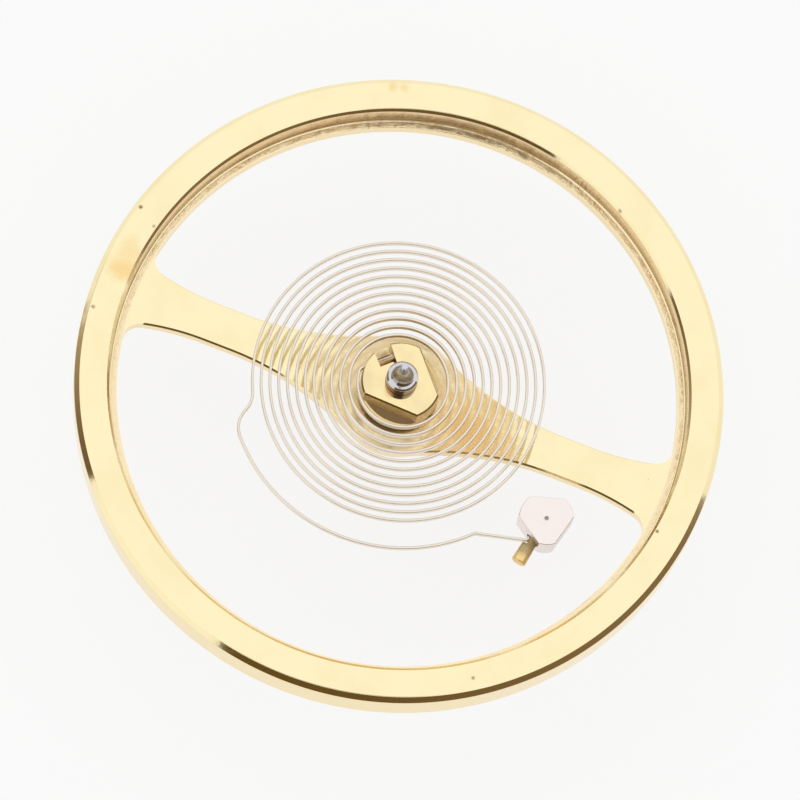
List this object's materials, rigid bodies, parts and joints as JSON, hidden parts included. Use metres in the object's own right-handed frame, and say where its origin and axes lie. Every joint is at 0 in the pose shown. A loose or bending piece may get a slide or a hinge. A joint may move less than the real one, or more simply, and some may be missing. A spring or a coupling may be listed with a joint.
{
  "type": "balance wheel",
  "caption": "Watch balance wheel with waisted arms, pivoted staff, roller, collet, flat hairspring and stud; it swings against its spring to time the movement.",
  "frame": {"origin": "tip of the lower pivot, on the staff's axis", "axes": "+Z along the staff from the lower pivot to the upper one, on the side that the picture shows; +X along the arms, towards the stud's side"},
  "size_m": [0.01, 0.01, 0.0029],
  "materials": {
    "gilt_wheel": "gilt, smooth",
    "gilt_collet": "gilt, polished",
    "gilt_roller": "gilt, polished",
    "brass_pin": "drawn, bright",
    "polished_steel": "hardened, polished",
    "stud_steel": "polished",
    "spring_steel": "rolled, bright",
    "ruby": "polished synthetic ruby"
  },
  "bodies": {
    "stud_end": {"stud": "stud_steel", "stud_pin": "brass_pin", "hairspring": "spring_steel"},
    "balance": {"balance_wheel": "gilt_wheel", "balance_staff": "polished_steel", "double_roller": "gilt_roller", "impulse_jewel": "ruby", "collet": "gilt_collet", "collet_pin": "brass_pin"}
  },
  "joints": [
    {"name": "balance_swing", "type": "hinge", "parent": "stud_end", "child": "balance", "pos_m": [0, 0, 0.00205], "axis": [0, 0, 1], "range_deg": [-315, 315], "stiffness_Nm_per_rad": 0.00000091, "deforming": ["hairspring"]}
  ]
}
